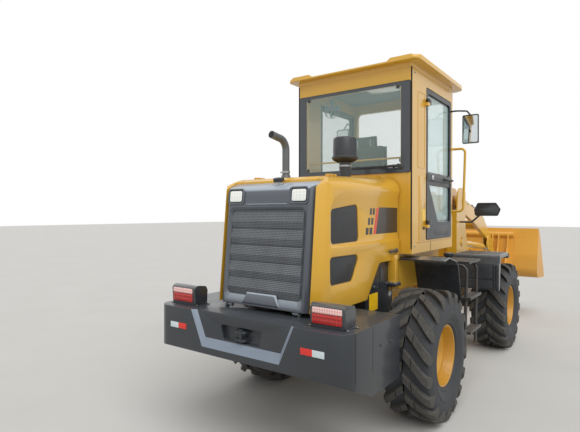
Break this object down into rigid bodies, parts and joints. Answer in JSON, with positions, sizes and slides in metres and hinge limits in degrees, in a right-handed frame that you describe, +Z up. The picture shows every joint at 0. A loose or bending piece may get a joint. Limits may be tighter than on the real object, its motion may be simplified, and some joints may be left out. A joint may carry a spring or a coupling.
{
  "type": "compact articulated wheel loader",
  "caption": "Compact wheel loader hinged at its middle, with a cab, lugged tyres, a Z-bar loader arm, a bucket on a coupler and a cast counterweight.",
  "frame": {"origin": "on the ground under the middle of the machine's box", "axes": "+X forward towards the bucket, +Y to the machine's left, +Z up"},
  "size_m": [6.54, 2.02, 3.045],
  "materials": {
    "yellow_paint": "gloss enamel",
    "rim_paint": "gloss enamel",
    "bucket_paint": "gloss enamel",
    "dark_paint": "semi-gloss enamel",
    "grille_paint": "semi-gloss enamel",
    "mesh_metal": "satin enamel over expanded mesh",
    "tyre": "dusty rubber",
    "black_plastic": "moulded grain",
    "ladder_paint": "satin black enamel",
    "clear_glass": "polished, pale green tint",
    "rod_chrome": "ground and plated",
    "lamp_plastic": "moulded housing with lenses",
    "seat_vinyl": "embossed vinyl",
    "engine_iron": "as cast, painted"
  },
  "bodies": {
    "rear": {"hood_spine": "yellow_paint", "cab_floor": "yellow_paint", "cab_rear_wall": "yellow_paint", "cab_front_wall": "yellow_paint", "cab_side_left": "yellow_paint", "cab_side_right": "yellow_paint", "cab_roof": "yellow_paint", "grab_rails": "yellow_paint", "rear_frame": "yellow_paint", "counterweight": "dark_paint", "tow_hitch": "dark_paint", "rear_axle": "dark_paint", "side_boxes": "dark_paint", "rear_fenders": "black_plastic", "cab_mirrors": "black_plastic", "precleaner": "black_plastic", "steering_console": "black_plastic", "ladders": "ladder_paint", "exhaust_pipe": "ladder_paint", "rear_glass": "clear_glass", "windscreen": "clear_glass", "tail_lamps": "lamp_plastic", "seat": "seat_vinyl", "power_unit": "engine_iron"},
    "front": {"front_frame": "yellow_paint", "front_axle": "dark_paint", "front_fenders": "black_plastic", "front_mirrors": "black_plastic"},
    "boom": {"boom": "yellow_paint"},
    "rocker": {"rocker": "yellow_paint"},
    "tilt_link": {"tilt_link": "yellow_paint"},
    "tilt_barrel": {"tilt_barrel": "yellow_paint"},
    "tilt_rod": {"tilt_rod": "rod_chrome"},
    "lift_barrels": {"lift_barrels": "yellow_paint"},
    "lift_rods": {"lift_rods": "rod_chrome"},
    "bucket": {"bucket": "bucket_paint", "coupler": "bucket_paint"},
    "steer_barrel_left": {"steer_barrel_left": "yellow_paint"},
    "steer_barrel_right": {"steer_barrel_right": "yellow_paint"},
    "steer_rod_left": {"steer_rod_left": "rod_chrome"},
    "steer_rod_right": {"steer_rod_right": "rod_chrome"},
    "hood_side_left": {"hood_side_left": "yellow_paint"},
    "hood_side_right": {"hood_side_right": "yellow_paint"},
    "grille": {"grille_surround": "grille_paint", "grille_louvres": "mesh_metal", "rear_work_lamps": "lamp_plastic"},
    "door_left": {"door_left": "yellow_paint", "door_glass_left": "clear_glass"},
    "door_right": {"door_right": "yellow_paint", "door_glass_right": "clear_glass"},
    "wheel_rear_left": {"tyre_rear_left": "tyre", "rim_rear_left": "rim_paint"},
    "wheel_rear_right": {"tyre_rear_right": "tyre", "rim_rear_right": "rim_paint"},
    "wheel_front_left": {"tyre_front_left": "tyre", "rim_front_left": "rim_paint"},
    "wheel_front_right": {"tyre_front_right": "tyre", "rim_front_right": "rim_paint"}
  },
  "joints": [
    {"name": "articulation", "type": "hinge", "parent": "rear", "child": "front", "pos_m": [-0.58, 0, 0.75], "axis": [0, 0, 1], "range_deg": [-35, 35]},
    {"name": "boom_lift", "type": "hinge", "parent": "front", "child": "boom", "pos_m": [0.45, 0, 1.83], "axis": [0, -1, 0], "range_deg": [-16, 70]},
    {"name": "bucket_tilt", "type": "hinge", "parent": "boom", "child": "bucket", "pos_m": [2.37, 0, 0.79], "axis": [0, -1, 0], "range_deg": [-50, 40]},
    {"name": "lift_barrel_hinge", "type": "hinge", "parent": "front", "child": "lift_barrels", "pos_m": [0.375, 0, 1.3], "axis": [0, -1, 0], "range_deg": [-15, 62]},
    {"name": "lift_rod_slide", "type": "slide", "parent": "lift_barrels", "child": "lift_rods", "axis": [0.9955, 0, -0.0948], "range_m": [-0.14, 0.56]},
    {"name": "tilt_barrel_hinge", "type": "hinge", "parent": "front", "child": "tilt_barrel", "pos_m": [0.55, 0, 1.89], "axis": [0, -1, 0], "range_deg": [-18, 76]},
    {"name": "tilt_rod_slide", "type": "slide", "parent": "tilt_barrel", "child": "tilt_rod", "axis": [0.9996, 0, -0.0285], "range_m": [-0.13, 0.11]},
    {"name": "rocker_hinge", "type": "hinge", "parent": "boom", "child": "rocker", "pos_m": [1.695, 0, 1.493], "axis": [0, -1, 0], "range_deg": [-15, 18.5]},
    {"name": "tilt_link_hinge", "type": "hinge", "parent": "bucket", "child": "tilt_link", "pos_m": [2.465, 0, 1.054], "axis": [0, -1, 0], "range_deg": [-30, 37]},
    {"name": "hood_left_hinge", "type": "hinge", "parent": "rear", "child": "hood_side_left", "pos_m": [-2.3, 0.33, 2.002], "axis": [1, 0, 0], "range_deg": [0, 70]},
    {"name": "hood_right_hinge", "type": "hinge", "parent": "rear", "child": "hood_side_right", "pos_m": [-2.3, -0.33, 2.002], "axis": [-1, 0, 0], "range_deg": [0, 70]},
    {"name": "grille_hinge", "type": "hinge", "parent": "rear", "child": "grille", "pos_m": [-3.016, 0, 0.973], "axis": [0, -1, 0], "range_deg": [0, 75]},
    {"name": "door_left_hinge", "type": "hinge", "parent": "rear", "child": "door_left", "pos_m": [-1.325, 0.627, 2.1], "axis": [0, 0, 1], "range_deg": [0, 85]},
    {"name": "door_right_hinge", "type": "hinge", "parent": "rear", "child": "door_right", "pos_m": [-1.325, -0.627, 2.1], "axis": [0, 0, -1], "range_deg": [0, 85]},
    {"name": "steer_barrel_left_hinge", "type": "hinge", "parent": "rear", "child": "steer_barrel_left", "pos_m": [-1.09, 0.45, 0.805], "axis": [0, 0, 1], "range_deg": [-15, 15]},
    {"name": "steer_rod_left_slide", "type": "slide", "parent": "steer_barrel_left", "child": "steer_rod_left", "axis": [0.9919, -0.1266, 0], "range_m": [-0.24, 0.24]},
    {"name": "steer_barrel_right_hinge", "type": "hinge", "parent": "rear", "child": "steer_barrel_right", "pos_m": [-1.09, -0.45, 0.805], "axis": [0, 0, 1], "range_deg": [-15, 15]},
    {"name": "steer_rod_right_slide", "type": "slide", "parent": "steer_barrel_right", "child": "steer_rod_right", "axis": [0.9919, 0.1266, 0], "range_m": [-0.24, 0.24]},
    {"name": "wheel_rear_left_spin", "type": "hinge", "parent": "rear", "child": "wheel_rear_left", "pos_m": [-1.85, 0.8, 0.52], "axis": [0, 1, 0], "continuous": true},
    {"name": "wheel_rear_right_spin", "type": "hinge", "parent": "rear", "child": "wheel_rear_right", "pos_m": [-1.85, -0.8, 0.52], "axis": [0, 1, 0], "continuous": true},
    {"name": "wheel_front_left_spin", "type": "hinge", "parent": "front", "child": "wheel_front_left", "pos_m": [0.69, 0.8, 0.52], "axis": [0, 1, 0], "continuous": true},
    {"name": "wheel_front_right_spin", "type": "hinge", "parent": "front", "child": "wheel_front_right", "pos_m": [0.69, -0.8, 0.52], "axis": [0, 1, 0], "continuous": true}
  ],
  "couplings": [
    {"joint": "lift_barrel_hinge", "follows": "boom_lift", "ratio": 0.875},
    {"joint": "lift_rod_slide", "follows": "boom_lift", "m_per_rad": 0.448},
    {"joint": "tilt_barrel_hinge", "follows": "boom_lift", "ratio": 1.07},
    {"joint": "tilt_rod_slide", "follows": "bucket_tilt", "m_per_rad": 0.13},
    {"joint": "rocker_hinge", "follows": "bucket_tilt", "ratio": -0.365},
    {"joint": "tilt_link_hinge", "follows": "bucket_tilt", "ratio": -0.7},
    {"joint": "steer_barrel_left_hinge", "follows": "articulation", "ratio": 0.396},
    {"joint": "steer_barrel_right_hinge", "follows": "articulation", "ratio": 0.396},
    {"joint": "steer_rod_left_slide", "follows": "articulation", "m_per_rad": -0.375},
    {"joint": "steer_rod_right_slide", "follows": "articulation", "m_per_rad": 0.375}
  ]
}
